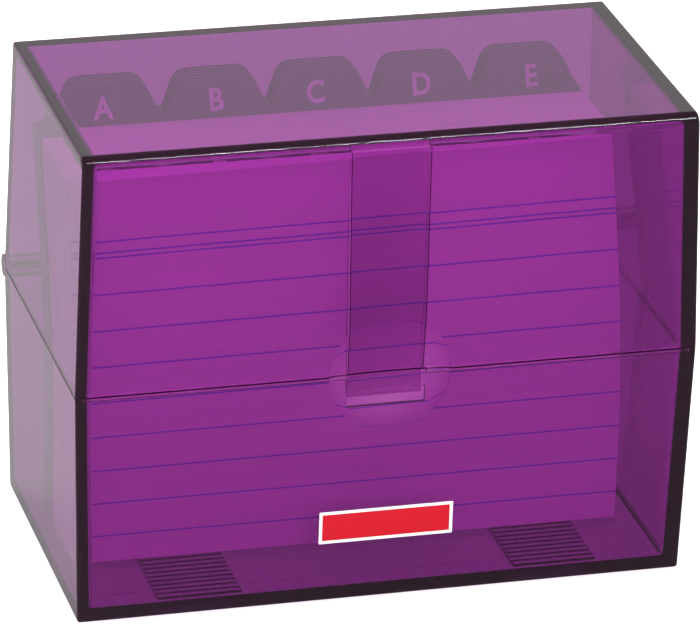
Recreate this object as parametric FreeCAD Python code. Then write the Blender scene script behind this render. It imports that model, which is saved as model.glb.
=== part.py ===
import FreeCAD, Part
import math
import os

# Hinged index card box of clear plastic, holding cards and a lettered register.
# Millimetres. Origin: middle of the case on the surface that it stands on.
# X runs along the width, -Y is the front with the latch, +Z is up.

# Case, measured at the parting plane where base and lid meet.
# Its width and height follow the cards and dividers, with room beside and above them.
side_room = 4.9
lid_headroom = 5.95
case_depth = 64.0
base_height = 46.4
base_draft = 1.05
lid_draft = 1.25
wall = 2.5
lid_back_wall = 1.4
floor = 2.0
lid_top = 2.4
corner_radius = 0.6
brow_radius = 2.2
inner_radius = 0.8
parting_gap = 0.3
overrun = 5.0

# Hinge along the back of the parting plane
hinge_offset = 0.5
knuckle_radius = 2.2
end_knuckle = 14.0
middle_knuckle = 30.0
knuckle_gap = 0.3
rod_radius = 0.75
rod_play = 0.05
blind_end = 1.5
rod_short = 0.5

# Thumb dish in the front, round, with half of it in each half of the case.
# Its hollow is shallow in the middle and steeper along the rim, which has a small step.
dish_radius = 11.7
dish_depth = 1.15
rim_step = 0.25
rim_width = 1.5
rim_depth = 0.6
rim_bulge = 0.65

# Latch tongue: a strip of the lid's front that hangs into a channel in the base
tongue_centre = -0.6
tongue_root_width = 15.0
tongue_tip_width = 14.3
tongue_root_below_top = 2.4
tongue_extra = 0.6
tongue_reach = 4.85
tongue_setback = 2.55
pad_depth = 4.0
bump_depth = 0.5
bump_height = 1.0
slit = 0.15
latch_play = 0.1
channel_shift = 0.3
channel_room = 0.45
catch_below = 3.7
pocket_height = 3.2

# Lip of the lid that sits in a rebate of the base, along the front and the sides
lip_depth = 1.05
lip_height = 0.85
lip_setback = 1.35
lip_to_back = 12.0

# Two patches of fine ridges on the floor, which the cards stand on
ridge_patch_width = 16.2
ridge_patch_offset = 34.8
ridge_height = 0.8
ridge_plinth = 0.4
ridge_width = 0.9
ridge_pitch = 1.8
ridge_margin = 1.0

# Label on the front of the base
label_width = 26.0
label_height = 6.6
label_thickness = 0.1
label_centre_x = 0.3
label_centre_z = 15.4

# Index cards, bent back over the register's foot: upright, then an arc, then a straight lean
card_width = 105.0
card_height = 76.2
card_centre_x = -0.7
card_thickness = 0.17
upright_length = 17.2
bend_radius = 120.0
lean_angle = 18.0
front_card_step = 0.22
bundle_count = 5
bundle_thickness = 3.45
bundle_gap = 0.2

# Register: lettered dividers in rows of five staggered tabs, against the lid's back wall
divider_shift = -0.4
divider_height = 77.05
divider_thickness = 0.21
divider_gap = 0.045
register_play = 0.79
tab_count = 5
row_count = 5
tab_height = 7.15
tab_shoulder = 3.0
tab_radius = 3.4
tab_gap = 0.55
tab_start_room = 1.75
tab_end_room = 0.5
first_tab_shift = 0.6


def leaf_point(length):
    """Distance back and height, above the foot, of a point along a leaning leaf."""
    arc_length = bend_radius * math.radians(lean_angle)
    turn = min(max(length - upright_length, 0), arc_length) / bend_radius
    straight = max(length - upright_length - arc_length, 0)
    back = bend_radius * (1 - math.cos(turn)) + straight * math.sin(turn)
    rise = min(length, upright_length) + bend_radius * math.sin(turn) + straight * math.cos(turn)
    return back, rise


# Places worked out from the sizes above
case_width = card_width + 2 * (side_room + wall)
divider_left = card_centre_x + divider_shift - card_width / 2
divider_right = divider_left + card_width
card_foot_z = floor + ridge_height
tab_top_back, tab_top_rise = leaf_point(divider_height + tab_height)
tab_top_z = card_foot_z + tab_top_rise
total_height = tab_top_z + lid_headroom + lid_top
lid_height = total_height - base_height
front_y = -case_depth / 2
hinge_y = case_depth / 2 + hinge_offset
lid_bottom = base_height + parting_gap
tongue_root_z = total_height - tongue_root_below_top
tongue_tip_z = base_height - tongue_reach
divider_step = divider_thickness + divider_gap
bundle_step = bundle_thickness + bundle_gap


def box(x_range, y_range, z_range):
    """Plain block between two values on each axis."""
    corner = FreeCAD.Vector(x_range[0], y_range[0], z_range[0])
    return Part.makeBox(
        x_range[1] - x_range[0], y_range[1] - y_range[0], z_range[1] - z_range[0], corner)


def extrude_side(points, x_range):
    """Solid from a side outline of (y, z) points, between two values of x."""
    corners = [FreeCAD.Vector(x_range[0], y, z) for y, z in points]
    face = Part.Face(Part.makePolygon(corners + corners[:1]))
    return face.extrude(FreeCAD.Vector(x_range[1] - x_range[0], 0, 0))


def extrude_front(points, y_range):
    """Solid from a front outline of (x, z) points, between two values of y."""
    corners = [FreeCAD.Vector(x, y_range[0], z) for x, z in points]
    face = Part.Face(Part.makePolygon(corners + corners[:1]))
    return face.extrude(FreeCAD.Vector(0, y_range[1] - y_range[0], 0))


def x_cylinder(radius, x_range):
    """Round bar on the hinge axis."""
    start = FreeCAD.Vector(x_range[0], hinge_y, base_height)
    return Part.makeCylinder(radius, x_range[1] - x_range[0], start, FreeCAD.Vector(1, 0, 0))


def lid_inset(z):
    """How far the lid's draft has moved its walls in at a height."""
    return lid_draft * (z - base_height) / lid_height


def base_inset(z):
    """How far the base's draft has moved its walls in at a height."""
    return base_draft * (base_height - z) / base_height


def tapered_block(inset, z_low, z_high, shrink):
    """Block with drafted walls, shrunk on each side, between two heights."""
    wires = []
    for z in (z_low, z_high):
        half_x = case_width / 2 - shrink - inset(z)
        half_y = case_depth / 2 - shrink - inset(z)
        corners = [
            FreeCAD.Vector(-half_x, -half_y, z), FreeCAD.Vector(half_x, -half_y, z),
            FreeCAD.Vector(half_x, half_y, z), FreeCAD.Vector(-half_x, half_y, z)]
        wires.append(Part.makePolygon(corners + corners[:1]))
    return Part.makeLoft(wires, True, True)


def upright_edges(shape):
    """The four corner edges of a drafted block."""
    return [edge for edge in shape.Edges if edge.BoundBox.ZLength > shape.BoundBox.ZLength / 2]


def edges_at_height(shape, z):
    """The edges of a block that lie in one level plane."""
    return [
        edge for edge in shape.Edges
        if abs(edge.BoundBox.ZMin - z) < parting_gap and abs(edge.BoundBox.ZMax - z) < parting_gap]


def knuckle_spans():
    """Lengths of the hinge that belong to the base and to the lid."""
    end = case_width / 2
    middle = middle_knuckle / 2
    base_spans = [(-end, end_knuckle - end), (-middle, middle), (end - end_knuckle, end)]
    lid_spans = []
    for left, right in zip(base_spans[:-1], base_spans[1:]):
        lid_spans.append((left[1] + knuckle_gap, right[0] - knuckle_gap))
    return base_spans, lid_spans


def with_knuckles(shell, own_spans, other_spans):
    """Adds a half's own hinge knuckles, clears the other half's, and bores for the rod."""
    for start, stop in other_spans:
        room = (start - knuckle_gap, stop + knuckle_gap)
        shell = shell.cut(x_cylinder(knuckle_radius + knuckle_gap, room))
    for span in own_spans:
        shell = shell.fuse(x_cylinder(knuckle_radius, span))
    bore = (blind_end - case_width / 2, case_width / 2 + overrun)
    return shell.cut(x_cylinder(rod_radius + rod_play, bore))


def dish_point(radius, depth):
    """Point of the dish's profile, at a distance from its middle and behind the case's front."""
    return FreeCAD.Vector(radius, front_y + depth, base_height)


def dish_cutter():
    """Round shallow hollow: a profile of two arcs, turned about the middle of the dish."""
    inner = dish_radius - rim_width
    bowl_depth = rim_depth + (dish_depth - rim_depth) * 3 / 4
    start, rim = dish_point(0, -overrun), dish_point(dish_radius, rim_step)
    blend, middle = dish_point(inner, rim_depth), dish_point(0, dish_depth)
    bulge = rim_step + (rim_depth - rim_step) * rim_bulge
    rim_arc = Part.Arc(rim, dish_point(dish_radius - rim_width / 2, bulge), blend)
    bowl_arc = Part.Arc(blend, dish_point(inner / 2, bowl_depth), middle)
    outer = dish_point(dish_radius, -overrun)
    edges = [
        Part.makeLine(start, outer), Part.makeLine(outer, rim), rim_arc.toShape(),
        bowl_arc.toShape(), Part.makeLine(middle, start)]
    face = Part.Face(Part.Wire(edges))
    return face.revolve(start, FreeCAD.Vector(0, 1, 0), 360)


def tongue_half_width(z):
    """Half of the tongue's tapering width at a height."""
    share = (z - tongue_tip_z) / (tongue_root_z - tongue_tip_z)
    return (tongue_tip_width + (tongue_root_width - tongue_tip_width) * share) / 2


def tongue_front(clearance, z_low, z_high):
    """Front outline of the tongue, or of the slot round it."""
    outline = []
    for side, z in ((-1, z_low), (1, z_low), (1, z_high), (-1, z_high)):
        outline.append((tongue_centre + side * (tongue_half_width(z) + clearance), z))
    return outline


def channel_sides():
    """Left and right side of the channel in the base, which has more room on the right."""
    half = tongue_half_width(base_height) + channel_room
    return tongue_centre + channel_shift - half, tongue_centre + channel_shift + half


def rim_blocks(setback, depth, clearance, z_range):
    """Blocks along the front and both sides, for the lid's lip or for its rebate."""
    outer_x = case_width / 2 - setback
    near_y = front_y + setback
    back_y = case_depth / 2 - lip_to_back + clearance
    left, right = channel_sides()
    left -= latch_play - clearance
    right += latch_play - clearance
    front = (near_y, near_y + depth)
    return [
        box((-outer_x, left), front, z_range), box((right, outer_x), front, z_range),
        box((-outer_x, depth - outer_x), (near_y, back_y), z_range),
        box((outer_x - depth, outer_x), (near_y, back_y), z_range)]


def ridges(x_centre):
    """Fine ridges across the floor on a low plinth, running along x."""
    inner_half = case_depth / 2 - wall - base_inset(floor)
    start = ridge_margin - inner_half
    count = int((inner_half - ridge_margin - start) / ridge_pitch)
    outline = [(start, floor / 2)]
    for index in range(count):
        y = start + index * ridge_pitch
        outline.append((y, floor + ridge_height))
        outline.append((y + ridge_width, floor + ridge_height))
        if index < count - 1:
            outline.append((y + ridge_width, floor + ridge_plinth))
            outline.append((y + ridge_pitch, floor + ridge_plinth))
    outline.append((y + ridge_width, floor / 2))
    half = ridge_patch_width / 2
    return extrude_side(outline, (x_centre - half, x_centre + half))


def base_tray():
    """Open lower half: walls, floor, ridges, channel for the latch, rebate and hinge knuckles."""
    outer = tapered_block(base_inset, 0, base_height, 0)
    outer = outer.makeFillet(corner_radius, upright_edges(outer) + edges_at_height(outer, 0))
    hollow = tapered_block(base_inset, floor, base_height + overrun, wall)
    hollow = hollow.makeFillet(inner_radius, upright_edges(hollow) + edges_at_height(hollow, floor))
    tray = outer.cut(hollow)
    for side in (-1, 1):
        tray = tray.fuse(ridges(side * ridge_patch_offset))

    # Rebate for the lid's lip, open to the inside
    rebate_z = (base_height - lip_height - latch_play, base_height + overrun)
    setback = lip_setback - latch_play
    for block in rim_blocks(setback, wall - setback, latch_play, rebate_z):
        tray = tray.cut(block)

    # Channel behind the front wall, and the deeper pocket under its ledge
    channel_x = channel_sides()
    channel_y = (front_y + tongue_setback - latch_play, front_y + pad_depth + overrun)
    catch_z = base_height - catch_below
    tray = tray.cut(box(channel_x, channel_y, (catch_z, base_height + overrun)))
    pocket_y = (front_y + tongue_setback - bump_depth - latch_play, channel_y[1])
    tray = tray.cut(box(channel_x, pocket_y, (catch_z - pocket_height, catch_z)))
    tray = tray.cut(dish_cutter())

    base_spans, lid_spans = knuckle_spans()
    return with_knuckles(tray, base_spans, lid_spans)


def lid_shell():
    """Hollow upper half with a thinner back: walls, top, lip, slot for the tongue and knuckles."""
    outer = tapered_block(lid_inset, lid_bottom, total_height, 0)
    top_edges = edges_at_height(outer, total_height)
    front_edge = min(top_edges, key=lambda edge: edge.BoundBox.YMax)
    outer = outer.makeFillet(brow_radius, [front_edge])
    sharp = [
        edge for edge in outer.Edges
        if edge.BoundBox.ZMax > lid_bottom + parting_gap
        and edge.BoundBox.XLength < case_width / 2]
    sharp += [edge for edge in edges_at_height(outer, total_height) if edge.BoundBox.YMin > 0]
    outer = outer.makeFillet(corner_radius, sharp)
    hollow = tapered_block(lid_inset, lid_bottom - overrun, total_height - lid_top, wall)
    inner_top = edges_at_height(hollow, total_height - lid_top)
    hollow = hollow.makeFillet(inner_radius, upright_edges(hollow) + inner_top)
    back_room = hollow.copy()
    back_room.translate(FreeCAD.Vector(0, wall - lid_back_wall, 0))
    shell = outer.cut(hollow.fuse(back_room))

    # Lip that hangs just below the parting plane
    lip_z = (base_height - lip_height, lid_bottom + lip_height)
    for block in rim_blocks(lip_setback, lip_depth, 0, lip_z):
        shell = shell.fuse(block)

    slot = tongue_front(slit, base_height - overrun, tongue_root_z)
    slot_y = (front_y - overrun, front_y + pad_depth + lid_draft)
    shell = shell.cut(extrude_front(slot, slot_y))
    shell = shell.cut(dish_cutter())

    base_spans, lid_spans = knuckle_spans()
    return with_knuckles(shell, lid_spans, base_spans)


def latch_tongue():
    """Springy strip of the lid's front that gets thicker downwards, with a bump at its tip."""
    heel = front_y + tongue_setback
    outline = [
        (front_y + lid_inset(lid_bottom), lid_bottom),
        (front_y + lid_inset(tongue_root_z), tongue_root_z),
        (front_y + wall + tongue_extra + lid_inset(tongue_root_z), tongue_root_z),
        (front_y + pad_depth, tongue_tip_z),
        (heel - bump_depth, tongue_tip_z),
        (heel - bump_depth, tongue_tip_z + bump_height),
        (heel, tongue_tip_z + bump_height),
        (heel, lid_bottom)]
    side = extrude_side(outline, (-case_width / 2, case_width / 2))
    front = extrude_front(
        tongue_front(0, tongue_tip_z, tongue_root_z), (front_y - overrun, front_y + case_depth / 2))
    return side.common(front).cut(dish_cutter())


def hinge_rod():
    """Steel rod through all the knuckles, closed in at the left end."""
    return x_cylinder(rod_radius, (blind_end - case_width / 2, case_width / 2 - rod_short))


def front_label():
    """Thin label that follows the drafted front of the base."""
    outline = []
    z_low = label_centre_z - label_height / 2
    z_high = label_centre_z + label_height / 2
    for z, lift in ((z_low, 0), (z_high, 0), (z_high, label_thickness), (z_low, label_thickness)):
        outline.append((front_y + base_inset(z) - lift, z))
    half = label_width / 2
    return extrude_side(outline, (label_centre_x - half, label_centre_x + half))


def leaf(x_range, foot_y, thickness, height):
    """Bent sheet or stack of sheets that stands on the ridges."""
    arc_length = bend_radius * math.radians(lean_angle)
    stations = [0, upright_length, upright_length + arc_length / 2, upright_length + arc_length, height]
    near = []
    for length in stations:
        back, rise = leaf_point(length)
        near.append(FreeCAD.Vector(x_range[0], foot_y + back, card_foot_z + rise))
    across = FreeCAD.Vector(0, thickness, 0)
    far = [point + across for point in near]
    edges = [
        Part.makeLine(near[0], near[1]), Part.Arc(near[1], near[2], near[3]).toShape(),
        Part.makeLine(near[3], near[4]), Part.makeLine(near[4], far[4]),
        Part.makeLine(far[4], far[3]), Part.Arc(far[3], far[2], far[1]).toShape(),
        Part.makeLine(far[1], far[0]), Part.makeLine(far[0], near[0])]
    face = Part.Face(Part.Wire(edges))
    return face.extrude(FreeCAD.Vector(x_range[1] - x_range[0], 0, 0))


def card_stack(foot_y, thickness):
    """One card, or a bundle of them."""
    half = card_width / 2
    return leaf((card_centre_x - half, card_centre_x + half), foot_y, thickness, card_height)


def tab_outline(position):
    """Front outline of a divider with its tab at one of the staggered positions."""
    pitch = (card_width - tab_start_room - tab_end_room) / tab_count
    right = divider_right - tab_end_room - (tab_count - 1 - position) * pitch
    if position == 0:
        right -= first_tab_shift
    left = right - pitch + tab_gap
    shoulder_z = card_foot_z + leaf_point(divider_height)[1]
    return [
        (divider_left, 0), (divider_right, 0), (divider_right, shoulder_z), (right, shoulder_z),
        (right - tab_shoulder, tab_top_z), (left + tab_shoulder, tab_top_z),
        (left, shoulder_z), (divider_left, shoulder_z)]


def divider(position, foot_y):
    """Thin leaf with one rounded tab."""
    sheet = leaf((divider_left, divider_right), foot_y, divider_thickness, divider_height + tab_height)
    mask = extrude_front(tab_outline(position), (foot_y - overrun, foot_y + case_depth / 2))
    corners = [
        edge for edge in mask.Edges
        if edge.BoundBox.YLength > overrun
        and edge.BoundBox.ZMin > tab_top_z - parting_gap]
    return sheet.common(mask.makeFillet(tab_radius, corners))


def write(name, shape):
    """Writes one clean solid under its name."""
    if len(shape.Solids) != 1 or not shape.isValid():
        raise ValueError(f"{name}: {len(shape.Solids)} solids, valid {shape.isValid()}")
    shape.Solids[0].exportStep(os.path.join("parts", name + ".step"))
    print(name, round(shape.Volume, 1))


os.makedirs("parts", exist_ok=True)
write("base_tray", base_tray())
write("lid_shell", lid_shell())
write("latch_tongue", latch_tongue())
write("hinge_rod", hinge_rod())
write("front_label", front_label())

# The rear tab leans on the lid, and everything else stands in front of it
divider_count = row_count * tab_count
lean_wall_y = case_depth / 2 - lid_back_wall - lid_inset(tab_top_z)
register_y = lean_wall_y - register_play - tab_top_back - divider_count * divider_step
for number in range(divider_count):
    letter = chr(ord("a") + number)
    foot_y = register_y + number * divider_step
    write(f"divider_{letter}", divider(number % tab_count, foot_y))

bundle_y = register_y - bundle_count * bundle_step
for number in range(bundle_count):
    foot_y = bundle_y + number * bundle_step
    write(f"card_bundle_{number + 1}", card_stack(foot_y, bundle_thickness))

write("index_card_front", card_stack(bundle_y - front_card_step, card_thickness))
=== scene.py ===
import bpy
import bmesh
import math
import random
from mathutils import Matrix, Vector


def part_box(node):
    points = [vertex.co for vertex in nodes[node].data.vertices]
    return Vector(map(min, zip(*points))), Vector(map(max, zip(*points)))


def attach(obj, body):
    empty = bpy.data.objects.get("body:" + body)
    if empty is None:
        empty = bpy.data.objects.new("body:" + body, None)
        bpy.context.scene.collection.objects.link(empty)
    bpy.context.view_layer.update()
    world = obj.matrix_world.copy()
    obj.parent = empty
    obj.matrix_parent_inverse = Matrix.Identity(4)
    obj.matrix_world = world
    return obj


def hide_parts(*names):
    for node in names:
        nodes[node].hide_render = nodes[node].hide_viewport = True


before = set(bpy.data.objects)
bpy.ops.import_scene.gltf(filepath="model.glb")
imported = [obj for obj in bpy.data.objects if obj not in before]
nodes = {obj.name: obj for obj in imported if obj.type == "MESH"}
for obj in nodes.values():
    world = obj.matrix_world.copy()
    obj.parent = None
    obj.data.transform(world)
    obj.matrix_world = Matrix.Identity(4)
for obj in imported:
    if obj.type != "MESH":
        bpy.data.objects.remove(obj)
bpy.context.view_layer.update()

# Case
# Base tray, lid shell and latch tongue are injection moulded in clear purple polystyrene.
# The tongue is one with the lid, thicker than the wall, and flexes to let go of the base.

plastic_ior = 1.5
wall_depth = 0.0025
# Share of red, green and blue light that one wall lets through
wall_passes = (0.55, 0.162, 0.565)
shadow_passes = (0.94, 0.94, 0.94, 1.0)
mirror_tint = (0.7, 0.7, 0.7, 1.0)
scatter_color = (0.60, 0.20, 0.45, 1.0)
scatter_share = 0.02
clear = (1.0, 1.0, 1.0, 1.0)
root_margin = 0.00002


class Signal:
    """A shader socket that takes part in sums like a number."""

    def __init__(self, finish, socket):
        self.finish = finish
        self.socket = socket

    def step(self, operation, *values):
        return self.finish.add("ShaderNodeMath", {"operation": operation}, dict(enumerate(values)))[0]

    def __add__(self, other):
        return self.step("ADD", self, other)

    def __sub__(self, other):
        return self.step("SUBTRACT", self, other)

    def __rsub__(self, other):
        return self.step("SUBTRACT", other, self)

    def __mul__(self, other):
        return self.step("MULTIPLY", self, other)

    def __gt__(self, other):
        return self.step("GREATER_THAN", self, other)

    def __lt__(self, other):
        return self.step("LESS_THAN", self, other)

    __radd__ = __add__
    __rmul__ = __mul__


class Finish:
    """The nodes of a material, or of the world, added one by one."""

    def __init__(self, holder):
        holder.use_nodes = True
        self.holder = holder
        self.tree = holder.node_tree
        self.tree.nodes.clear()

    def add(self, kind, settings=None, sockets=None):
        node = self.tree.nodes.new(kind)
        for key, value in (settings or {}).items():
            setattr(node, key, value)
        for key, value in (sockets or {}).items():
            if isinstance(value, Signal):
                self.tree.links.new(value.socket, node.inputs[key])
            else:
                node.inputs[key].default_value = value
        return [Signal(self, socket) for socket in node.outputs]

    def output(self, surface, volume=None):
        sockets = {"Surface": surface}
        if volume:
            sockets["Volume"] = volume
        self.add("ShaderNodeOutputMaterial", {}, sockets)
        return self.holder


def paint(obj, material):
    """Gives a piece one material on all its faces."""
    obj.data.materials.clear()
    obj.data.materials.append(material)


plastic = Finish(bpy.data.materials.new("purple_polystyrene"))
place = plastic.add("ShaderNodeTexCoord")[3]
flow = plastic.add("ShaderNodeTexNoise", {}, {"Vector": place, "Scale": 45.0, "Detail": 2.0})[0]
haze = plastic.add("ShaderNodeTexNoise", {}, {"Vector": place, "Scale": 260.0, "Detail": 4.0})[0]
ripple = plastic.add("ShaderNodeBump", {}, {"Strength": 0.02, "Distance": 0.0003, "Height": flow})[0]
clear_body = plastic.add("ShaderNodeBsdfPrincipled", {}, {
    "Base Color": clear, "Roughness": haze * 0.03 + 0.005, "IOR": plastic_ior,
    "Specular Tint": mirror_tint, "Transmission Weight": 1.0, "Normal": ripple})[0]
lamp_way = plastic.add("ShaderNodeBsdfTransparent", {}, {"Color": shadow_passes})[0]
# A little light is scattered by the plastic itself
scatter = plastic.add("ShaderNodeBsdfDiffuse", {}, {"Color": scatter_color})[0]
plastic_body = plastic.add("ShaderNodeMixShader", {}, {0: scatter_share, 1: clear_body, 2: scatter})[0]
shadow_ray = plastic.add("ShaderNodeLightPath")[1]
lit_body = plastic.add("ShaderNodeMixShader", {}, {0: shadow_ray, 1: plastic_body, 2: lamp_way})[0]
# Where the tongue grows out of the lid there is no real face, so none is seen there
root_low, root_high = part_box("latch_tongue")
x, y, z = plastic.add("ShaderNodeSeparateXYZ", {}, {0: place})
root = (z > root_high.z - root_margin) * (z < root_high.z + root_margin) * (y < root_high.y)
root = root * (x > root_low.x) * (x < root_high.x)
unseen = plastic.add("ShaderNodeBsdfTransparent", {}, {"Color": clear})[0]
whole_body = plastic.add("ShaderNodeMixShader", {}, {0: root, 1: lit_body, 2: unseen})[0]
# The plastic's colour is in its depth, so thick places are darker
taken = [-math.log(share) / wall_depth for share in wall_passes]
density = max(taken) * 1.02
kept = [1 - part / density for part in taken]
depth = plastic.add("ShaderNodeVolumeAbsorption", {}, {"Color": (*kept, 1.0), "Density": density})[0]
plastic_material = plastic.output(whole_body, depth)

for name in ("base_tray", "lid_shell", "latch_tongue"):
    paint(nodes[name], plastic_material)

# Hinge rod
# Drawn steel wire pushed through the knuckles from the right, where its end shows.

steel = Finish(bpy.data.materials.new("drawn_steel"))
grain = steel.add("ShaderNodeTexNoise", {}, {
    "Vector": steel.add("ShaderNodeMapping", {}, {
        "Vector": steel.add("ShaderNodeTexCoord")[3], "Scale": (40.0, 4000.0, 4000.0)})[0],
    "Scale": 1.0, "Detail": 3.0})[0]
steel_body = steel.add("ShaderNodeBsdfPrincipled", {}, {
    "Base Color": (0.56, 0.56, 0.58, 1.0), "Metallic": 1.0, "Roughness": grain * 0.2 + 0.22})[0]
paint(nodes["hinge_rod"], steel.output(steel_body))

# Front label
# Thin printed foil on the front of the base: red inside a white border, without any words.

label_low, label_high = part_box("front_label")
label_border = 0.0006
label_reds = (0.50, 0.004, 0.014, 1.0), (0.55, 0.006, 0.018, 1.0)
label_white = (0.85, 0.84, 0.84, 1.0)
label = Finish(bpy.data.materials.new("printed_label"))
along, _, up = label.add("ShaderNodeSeparateXYZ", {}, {0: label.add("ShaderNodeTexCoord")[3]})
inside = (along > label_low.x + label_border) * (along < label_high.x - label_border)
inside = inside * (up > label_low.z + label_border) * (up < label_high.z - label_border)
mottle = label.add("ShaderNodeTexNoise", {}, {"Scale": 900.0, "Detail": 3.0})[0]
red = label.add("ShaderNodeMix", {"data_type": "RGBA"}, {0: mottle, 6: label_reds[0], 7: label_reds[1]})[2]
ink = label.add("ShaderNodeMix", {"data_type": "RGBA"}, {0: inside, 6: label_white, 7: red})[2]
label_body = label.add("ShaderNodeBsdfPrincipled", {}, {
    "Base Color": ink, "Roughness": mottle * 0.1 + 0.4, "Specular IOR Level": 0.2})[0]
paint(nodes["front_label"], label.output(label_body))

# Index cards
# White card stock, upright at the foot and leaning back further up. The front one is ruled
# in blue on its face, and the pack behind it is a hundred loose cards.

card_width = 0.105
card_height = 0.0762
card_centre_x = -0.0007
card_thickness = 0.00017
bundle_count = 5
cards_in_bundle = 20
bundle_thickness = 0.00345
loose_thickness_share = 0.99
sideways_play = 0.0002
upward_play = 0.0001
upright_length = 0.0172
bend_radius = 0.120
lean_angle = math.radians(18.0)
bend_steps = 12
rule_first = 0.0055
rule_pitch = 0.007
rule_count = 9
rule_width = 0.00032
header_gap = 0.00093
header_rise = 0.0031
pack_forward = 0.0004
left_upright = 0.0558
left_foot_back = 0.0008
card_whites = (0.82, 0.80, 0.77, 1.0), (0.88, 0.865, 0.84, 1.0)
rule_blue = (0.28, 0.22, 0.72, 1.0)


def on_leaf(foot, x, length, depth, looseness=0):
    """Place of a point that lies a length up a leaning leaf, and a depth behind its face."""
    # A loose card stands a little forward, and its left side leans less than its right side
    left_share = (card_centre_x + card_width / 2 - x) / card_width
    forward = looseness * (pack_forward + left_share * (left_upright * length - left_foot_back))
    arc_length = bend_radius * lean_angle
    turn = min(max(length - upright_length, 0), arc_length) / bend_radius
    straight = max(length - upright_length - arc_length, 0)
    back = bend_radius * (1 - math.cos(turn)) + straight * math.sin(turn)
    rise = min(length, upright_length) + bend_radius * math.sin(turn) + straight * math.cos(turn)
    return Vector((x, foot.y + back + depth - forward, foot.z + rise))


def add_sheet(mesh, foot, points, faces, thickness, shift=(0, 0, 0), indices=(0, 0), looseness=0):
    """Adds a thin closed leaf to a mesh from flat points (x, length) and their faces.

    The two indices are the material slots of its faces and of its cut edges.
    """
    uv = mesh.loops.layers.uv.verify()
    sides = []
    for depth in (0, thickness):
        spots = [on_leaf(foot, x + shift[0], s + shift[1], depth + shift[2], looseness) for x, s in points]
        sides.append([mesh.verts.new(spot) for spot in spots])
    used = {}
    for face in faces:
        for number in range(len(face)):
            pair = (face[number], face[(number + 1) % len(face)])
            used[pair] = True
        front = mesh.faces.new([sides[0][i] for i in face])
        back = mesh.faces.new([sides[1][i] for i in reversed(face)])
        for made, order in ((front, face), (back, list(reversed(face)))):
            made.material_index = indices[0]
            for loop, i in zip(made.loops, order):
                loop[uv].uv = points[i]
    for a, b in used:
        if (b, a) not in used:
            edge = mesh.faces.new([sides[0][b], sides[0][a], sides[1][a], sides[1][b]])
            edge.material_index = indices[1]
            for loop, i in zip(edge.loops, (b, a, a, b)):
                loop[uv].uv = points[i]


def strip(width, centre, lengths):
    """Points and faces of a plain rectangle, cut across at each length."""
    points = []
    for s in lengths:
        points += [(centre - width / 2, s), (centre + width / 2, s)]
    faces = [(2 * i, 2 * i + 1, 2 * i + 3, 2 * i + 2) for i in range(len(lengths) - 1)]
    return points, faces


def bend_lengths(height):
    """Lengths at which a leaf is cut so that its bend looks smooth."""
    arc_length = bend_radius * lean_angle
    cuts = [upright_length + arc_length * i / bend_steps for i in range(bend_steps + 1)]
    return [0, *cuts, height]


def leaf_object(name, mesh, materials):
    """Turns a finished mesh into a named piece."""
    data = bpy.data.meshes.new(name)
    mesh.to_mesh(data)
    mesh.free()
    obj = bpy.data.objects.new(name, data)
    bpy.context.scene.collection.objects.link(obj)
    for material in materials:
        data.materials.append(material)
    return obj


def foot_of(node):
    """Front lower edge of a standing leaf."""
    low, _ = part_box(node)
    return Vector((0, low.y, low.z))


def card_stock(name, ruled):
    """Uncoated white card, with ruled lines on its face if asked."""
    stock = Finish(bpy.data.materials.new(name))
    sheet = stock.add("ShaderNodeTexCoord")[2]
    fibre = stock.add("ShaderNodeTexNoise", {}, {
        "Vector": stock.add("ShaderNodeTexCoord")[3], "Scale": 2500.0, "Detail": 4.0})[0]
    color = stock.add("ShaderNodeMix", {"data_type": "RGBA"}, {
        0: fibre, 6: card_whites[0], 7: card_whites[1]})[2]
    if ruled:
        _, length, _ = stock.add("ShaderNodeSeparateXYZ", {}, {0: sheet})
        first = length - (rule_first - rule_pitch / 2)
        cycle = first.step("FRACT", first * (1 / rule_pitch))
        centred = cycle.step("ABSOLUTE", cycle - 0.5)
        lines = centred < rule_width / 2 / rule_pitch
        top_rule = rule_first + (rule_count - 1) * rule_pitch
        lines = lines * (length < top_rule + rule_pitch / 2)
        for height in (top_rule + header_gap, top_rule + header_rise):
            offset = length - height
            lines = lines + (offset.step("ABSOLUTE", offset) < rule_width / 2)
        lines = lines.step("MINIMUM", lines, 1.0)
        color = stock.add("ShaderNodeMix", {"data_type": "RGBA"}, {
            0: lines, 6: color, 7: rule_blue})[2]
    bump = stock.add("ShaderNodeBump", {}, {"Strength": 0.15, "Distance": 0.00002, "Height": fibre})[0]
    return stock.output(stock.add("ShaderNodeBsdfPrincipled", {}, {
        "Base Color": color, "Roughness": 0.85, "Normal": bump})[0])


plain_stock = card_stock("card_stock", False)
ruled_stock = card_stock("ruled_card_stock", True)
card_points, card_faces = strip(card_width, card_centre_x, bend_lengths(card_height))

mesh = bmesh.new()
add_sheet(mesh, foot_of("index_card_front"), card_points, card_faces, card_thickness, looseness=1)
front_card = leaf_object("ruled_index_card", mesh, [ruled_stock])
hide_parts("index_card_front")
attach(front_card, "card_front")

shuffle = random.Random(7)
for number in range(1, bundle_count + 1):
    mesh = bmesh.new()
    foot = foot_of(f"card_bundle_{number}")
    for card in range(cards_in_bundle):
        shift = (
            shuffle.uniform(-sideways_play, sideways_play), shuffle.uniform(0, upward_play),
            card * bundle_thickness / cards_in_bundle)
        looseness = 1 - ((number - 1) * cards_in_bundle + card) / (bundle_count * cards_in_bundle)
        add_sheet(
            mesh, foot, card_points, card_faces, card_thickness * loose_thickness_share, shift,
            looseness=looseness)
    bundle = leaf_object(f"index_cards_{number}", mesh, [plain_stock])
    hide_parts(f"card_bundle_{number}")
    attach(bundle, f"card_bundle_{number}")

# Register
# Twenty-five dividers of thin dark plastic in five rows. Each has one tab with its letter,
# and the five tabs of a row stand side by side.

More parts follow.
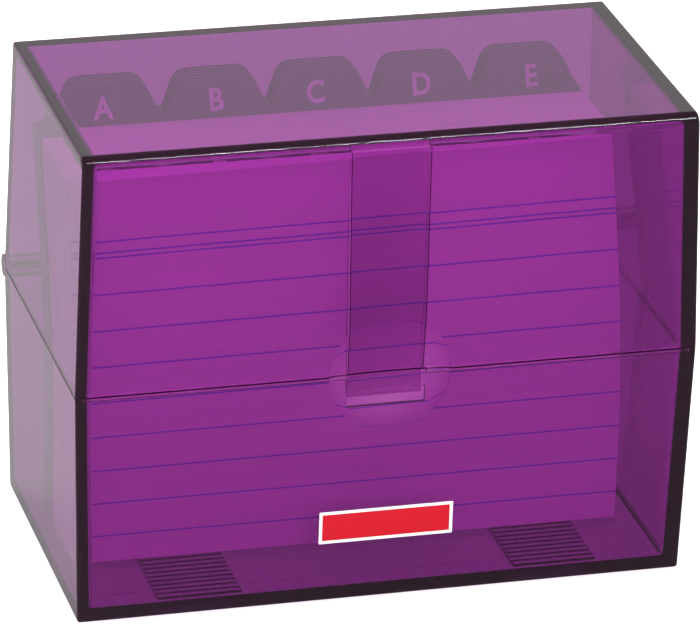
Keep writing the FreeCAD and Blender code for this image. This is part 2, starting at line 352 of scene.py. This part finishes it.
divider_height = 0.07705
divider_thickness = 0.00021
tab_height = 0.00715
tab_shoulder = 0.003
tab_gap = 0.00055
tab_start_room = 0.00175
tab_end_room = 0.0005
first_tab_shift = 0.0006
tab_radius = 0.0034
tab_count = 5
tab_round_steps = 8
divider_count = 25
divider_darks = (0.165, 0.155, 0.175, 1.0), (0.175, 0.165, 0.185, 1.0)
# Paler colour of the tabs' thin cut edges: a painted highlight where light catches them
edge_highlight_color = (0.42, 0.40, 0.44, 1.0)
face_index = 0
letter_index = 1
edge_index = 2
letter_height = 0.00445
letter_foot = 0.0005
letter_narrow = 0.88
letter_bold_share = 0.035
capital_share = 1.34
print_thickness = 0.00001
letter_color = (0.92, 0.90, 0.90, 1.0)
letter_shifts = (-0.0012, -0.0003, -0.0011, -0.0006, 0.0009)

tab_plastic = Finish(bpy.data.materials.new("dark_divider_plastic"))
speck = tab_plastic.add("ShaderNodeTexNoise", {}, {
    "Vector": tab_plastic.add("ShaderNodeTexCoord")[3], "Scale": 500.0, "Detail": 2.0})[0]
tab_color = tab_plastic.add("ShaderNodeMix", {"data_type": "RGBA"}, {
    0: speck, 6: divider_darks[0], 7: divider_darks[1]})[2]
tab_material = tab_plastic.output(tab_plastic.add("ShaderNodeBsdfPrincipled", {}, {
    "Base Color": tab_color, "Roughness": speck * 0.15 + 0.45})[0])

# Painted highlight along the tabs' cut edges
cut_edge = Finish(bpy.data.materials.new("painted_edge_highlight"))
edge_highlight_material = cut_edge.output(cut_edge.add("ShaderNodeBsdfPrincipled", {}, {
    "Base Color": edge_highlight_color, "Roughness": 0.5})[0])

letter_ink = Finish(bpy.data.materials.new("pale_letter_print"))
letter_material = letter_ink.output(letter_ink.add("ShaderNodeBsdfPrincipled", {}, {
    "Base Color": letter_color, "Roughness": 0.6})[0])


def tab_points(left, right):
    """Rounded outline of a tab, from its right foot over the top to its left foot."""
    top = divider_height + tab_height
    turn = math.atan2(tab_height, tab_shoulder)
    reach = tab_radius * math.tan(turn / 2)
    points = [(right, divider_height)]
    centre_s = top - tab_radius
    centre_r = right - tab_shoulder - reach
    centre_l = left + tab_shoulder + reach
    for i in range(tab_round_steps + 1):
        angle = math.pi / 2 - turn + turn * i / tab_round_steps
        points.append((centre_r + tab_radius * math.cos(angle), centre_s + tab_radius * math.sin(angle)))
    for i in range(tab_round_steps + 1):
        angle = math.pi / 2 + turn * i / tab_round_steps
        points.append((centre_l + tab_radius * math.cos(angle), centre_s + tab_radius * math.sin(angle)))
    points.append((left, divider_height))
    return points


def letter_mesh(character):
    """Flat filled outline of one bold letter, as points and faces."""
    curve = bpy.data.curves.new("letter", "FONT")
    curve.body = character
    curve.size = letter_height * capital_share
    curve.offset = letter_height * letter_bold_share
    curve.align_x = "CENTER"
    holder = bpy.data.objects.new("letter", curve)
    bpy.context.scene.collection.objects.link(holder)
    bpy.context.view_layer.update()
    flat = bpy.data.meshes.new_from_object(holder)
    points = [(v.co.x, v.co.y) for v in flat.vertices]
    faces = [tuple(p.vertices) for p in flat.polygons]
    bpy.data.objects.remove(holder)
    bpy.data.curves.remove(curve)
    return points, faces


for number in range(divider_count):
    character = chr(ord("A") + number)
    node = f"divider_{character.lower()}"
    foot = foot_of(node)
    low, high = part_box(node)
    pitch = (high.x - low.x - tab_start_room - tab_end_room) / tab_count
    right = high.x - tab_end_room - (tab_count - 1 - number % tab_count) * pitch
    if number % tab_count == 0:
        right -= first_tab_shift
    left = right - pitch + tab_gap
    points, faces = strip(high.x - low.x, (low.x + high.x) / 2, bend_lengths(divider_height))
    last = len(points)
    tab = tab_points(left, right)
    points = points + tab
    # The top edge of the sheet and the foot of the tab share one face, so the leaf stays closed
    faces = faces[:-1]
    corner_l, corner_r = last - 4, last - 3
    faces.append((corner_l, corner_r, last - 1, *range(last, last + len(tab)), last - 2))
    mesh = bmesh.new()
    add_sheet(mesh, foot, points, faces, divider_thickness, indices=(face_index, edge_index))
    bmesh.ops.remove_doubles(mesh, verts=mesh.verts, dist=1e-6)
    # Only the tab's own edge gets the paler colour, a painted highlight where light catches it
    shoulder = on_leaf(foot, 0, divider_height, 0).z
    for face in mesh.faces:
        if face.material_index == edge_index and face.calc_center_median().z < shoulder + 0.0001:
            face.material_index = face_index
    glyph, glyph_faces = letter_mesh(character)
    middle = (left + right) / 2 + letter_shifts[number % tab_count]
    placed = [(x * letter_narrow + middle, s + divider_height + letter_foot) for x, s in glyph]
    add_sheet(
        mesh, foot, placed, glyph_faces, print_thickness, (0, 0, -print_thickness),
        (letter_index, letter_index))
    divider = leaf_object(
        f"lettered_divider_{character.lower()}", mesh, [tab_material, letter_material, edge_highlight_material])
    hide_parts(node)
    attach(divider, f"register_row_{number // tab_count + 1}")

# Studio
# A pale floor and a soft light tent, with the camera where the photograph was taken from.

floor_reach = 4.0
floor_drop = 0.0002
floor_near = -0.06
case_middle_height = 0.045
tent_light = (0.68, 0.68, 0.68, 1.0)
tent_mirrored = (0.78, 0.78, 0.78, 1.0)
pale = (0.8, 0.8, 0.8, 1.0)
white = (1.0, 1.0, 1.0, 1.0)
black = (0.0, 0.0, 0.0, 1.0)

floor_mesh = bmesh.new()
bmesh.ops.create_grid(floor_mesh, x_segments=1, y_segments=1, size=floor_reach)
floor_paint = Finish(bpy.data.materials.new("studio_floor"))
# The floor is painted darker where it is seen through the plastic and in reflections, most of all in front
# of the case: painted shade that dims what the plastic reflects and shows
way = floor_paint.add("ShaderNodeLightPath")
_, behind, _ = floor_paint.add("ShaderNodeSeparateXYZ", {}, {0: floor_paint.add("ShaderNodeTexCoord")[3]})
near = floor_paint.add("ShaderNodeMapRange", {"interpolation_type": "SMOOTHSTEP"}, {
    0: behind, 1: floor_near, 2: 0.0, 3: 1.0, 4: 0.0})[0]
painted_floor_shade = way[6] * 0.2 + way[3] * 0.56 + near * way[3] * 0.3
floor_color = floor_paint.add("ShaderNodeMix", {"data_type": "RGBA"}, {
    0: painted_floor_shade, 6: pale, 7: black})[2]
floor_body = floor_paint.add("ShaderNodeBsdfPrincipled", {}, {
    "Base Color": floor_color, "Roughness": 0.6})[0]
seen_floor = way[0] + way[3] * 0.2 + way[6] * 0.6
glow = floor_paint.add("ShaderNodeEmission", {}, {"Color": white, "Strength": 0.5})[0]
lit = floor_paint.add("ShaderNodeAddShader", {}, {0: floor_body, 1: glow})[0]
floor_look = floor_paint.add("ShaderNodeMixShader", {}, {0: seen_floor, 1: floor_body, 2: lit})[0]
floor = leaf_object("studio_floor", floor_mesh, [floor_paint.output(floor_look)])
floor.location.z = -floor_drop

world = bpy.data.worlds.new("studio_room")
bpy.context.scene.world = world
room = Finish(world)
rays = room.add("ShaderNodeLightPath")
seen_room = rays[0].step("MAXIMUM", rays[0], rays[6])
_, toward_back, toward_top = room.add("ShaderNodeSeparateXYZ", {}, {0: room.add("ShaderNodeTexCoord")[0]})
backdrop = room.add("ShaderNodeMapRange", {"interpolation_type": "SMOOTHSTEP"}, {
    0: toward_top - toward_back * 0.25, 1: 0.2, 2: 0.5, 3: 1.0, 4: 0.3})[0]
mirrored = room.add("ShaderNodeMix", {"data_type": "RGBA"}, {
    0: backdrop, 6: black, 7: tent_mirrored})[2]
soft_light = room.add("ShaderNodeMix", {"data_type": "RGBA"}, {
    0: rays[3], 6: tent_light, 7: mirrored})[2]
sky = room.add("ShaderNodeMix", {"data_type": "RGBA"}, {0: seen_room, 6: soft_light, 7: white})[2]
room.add("ShaderNodeOutputWorld", {}, {"Surface": room.add("ShaderNodeBackground", {}, {"Color": sky})[0]})


def soft_lamp(name, place, width, height, power):
    """Soft lamp aimed at the case, hidden from the camera and from sight through the plastic."""
    lamp = bpy.data.lights.new(name, "AREA")
    lamp.shape = "RECTANGLE"
    lamp.size = width
    lamp.size_y = height
    lamp.energy = power
    holder = bpy.data.objects.new(name, lamp)
    bpy.context.scene.collection.objects.link(holder)
    holder.location = place
    aim = Vector((0, 0, case_middle_height)) - holder.location
    holder.rotation_mode = "QUATERNION"
    holder.rotation_quaternion = aim.to_track_quat("-Z", "Y")
    holder.visible_camera = False
    holder.visible_transmission = False
    return holder


soft_lamp("front_lamp", Vector((-0.20, -1.08, 0.58)), 0.45, 0.45, 10.4).visible_glossy = False
# Only mirrored: it draws the bright line along the lid's rounded front edge
soft_lamp("edge_lamp", Vector((0.295, -0.70, 1.05)), 0.48, 0.10, 5.5).visible_diffuse = False
for name, place, power in (
        ("top_lamp", Vector((0, 0.45, 1.15)), 10.5), ("left_lamp", Vector((-1.25, 0.15, 0.35)), 24.0)):
    soft_lamp(name, place, 0.7, 0.7, power).visible_glossy = False

azimuth = math.radians(-15.54)
elevation = math.radians(23.53)
roll = math.radians(1.66)
distance = 1.1134
target = Vector((0.00081, 0, 0.04518))
forward = Vector((
    -math.sin(azimuth) * math.cos(elevation), math.cos(azimuth) * math.cos(elevation), -math.sin(elevation)))
level = Vector((math.cos(azimuth), math.sin(azimuth), 0))
upright = level.cross(forward)
side = math.cos(roll) * level + math.sin(roll) * upright
top = -math.sin(roll) * level + math.cos(roll) * upright
lens = bpy.data.cameras.new("camera")
lens.lens = 299.9
lens.sensor_width = 36.0
lens.clip_end = 20.0
camera = bpy.data.objects.new("camera", lens)
bpy.context.scene.collection.objects.link(camera)
spot = target - forward * distance
camera.matrix_world = Matrix((
    (side.x, top.x, -forward.x, spot.x), (side.y, top.y, -forward.y, spot.y),
    (side.z, top.z, -forward.z, spot.z), (0, 0, 0, 1)))
bpy.context.scene.camera = camera
bpy.context.scene.view_settings.view_transform = "Standard"
